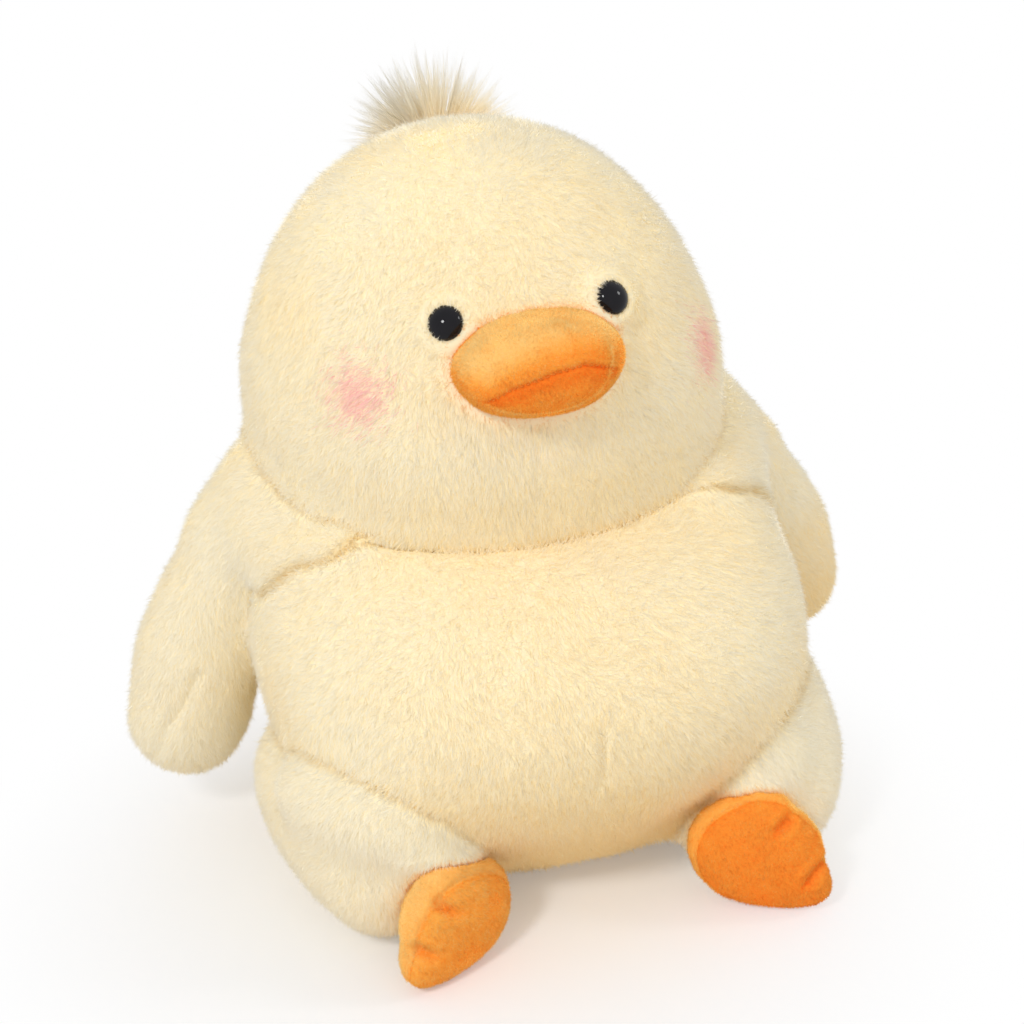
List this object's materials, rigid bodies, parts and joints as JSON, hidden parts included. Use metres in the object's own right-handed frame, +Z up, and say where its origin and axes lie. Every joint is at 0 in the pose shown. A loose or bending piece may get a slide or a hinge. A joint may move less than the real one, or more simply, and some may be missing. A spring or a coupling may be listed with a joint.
{
  "type": "plush duck",
  "caption": "Sitting stuffed duck with a ball head, padded bill, button eyes, hanging wings, stubby legs with padded feet and a long pile tuft.",
  "frame": {"origin": "on the flat seat, on the middle plane, under the front of the belly", "axes": "+Z up, the face looks towards -Y, the duck's own left is +X"},
  "size_m": [0.3062, 0.2311, 0.2794],
  "materials": {
    "cream_fur": "short combed cream plush pile, matt",
    "fibre_filling": "white polyester fibre filling",
    "eye_black": "high gloss black",
    "washer_plastic": "moulded white",
    "orange_nap": "very short orange velour nap",
    "deep_orange_nap": "very short deep orange velour nap",
    "orange_thread": "spun sewing thread",
    "woven_backing": "woven pile backing",
    "long_pile": "long soft whitish pile"
  },
  "bodies": {
    "body": {"body_cover": "cream_fur", "body_stuffing": "fibre_filling"},
    "head": {"head_cover": "cream_fur", "head_stuffing": "fibre_filling", "eye_right": "eye_black", "eye_left": "eye_black", "eye_washer_right": "washer_plastic", "eye_washer_left": "washer_plastic", "bill_upper": "orange_nap", "bill_lower": "deep_orange_nap", "bill_stuffing": "fibre_filling", "bill_mouth_thread": "orange_thread", "tuft_strip": "woven_backing", "tuft": "long_pile"},
    "wing_right": {"wing_cover_right": "cream_fur", "wing_stuffing_right": "fibre_filling"},
    "wing_left": {"wing_cover_left": "cream_fur", "wing_stuffing_left": "fibre_filling"},
    "leg_right": {"leg_cover_right": "cream_fur", "leg_stuffing_right": "fibre_filling", "foot_sole_right": "deep_orange_nap", "foot_upper_right": "orange_nap", "foot_stuffing_right": "fibre_filling"},
    "leg_left": {"leg_cover_left": "cream_fur", "leg_stuffing_left": "fibre_filling", "foot_sole_left": "deep_orange_nap", "foot_upper_left": "orange_nap", "foot_stuffing_left": "fibre_filling"}
  },
  "joints": [
    {"name": "head_tilt", "type": "hinge", "parent": "body", "child": "head", "pos_m": [0, 0.048, 0.176], "axis": [0, 1, 0], "range_deg": [-12, 12], "stiffness_Nm_per_rad": 0.6},
    {"name": "wing_right_lift", "type": "hinge", "parent": "body", "child": "wing_right", "pos_m": [-0.096, 0.056, 0.112], "axis": [0, 1, 0], "range_deg": [0, 60], "stiffness_Nm_per_rad": 0.03},
    {"name": "wing_left_lift", "type": "hinge", "parent": "body", "child": "wing_left", "pos_m": [0.096, 0.056, 0.112], "axis": [0, -1, 0], "range_deg": [0, 60], "stiffness_Nm_per_rad": 0.03},
    {"name": "leg_right_splay", "type": "hinge", "parent": "body", "child": "leg_right", "pos_m": [-0.094, 0.04, 0.04], "axis": [0, 0, -1], "range_deg": [0, 25], "stiffness_Nm_per_rad": 0.05},
    {"name": "leg_left_splay", "type": "hinge", "parent": "body", "child": "leg_left", "pos_m": [0.094, 0.04, 0.04], "axis": [0, 0, 1], "range_deg": [0, 25], "stiffness_Nm_per_rad": 0.05}
  ]
}
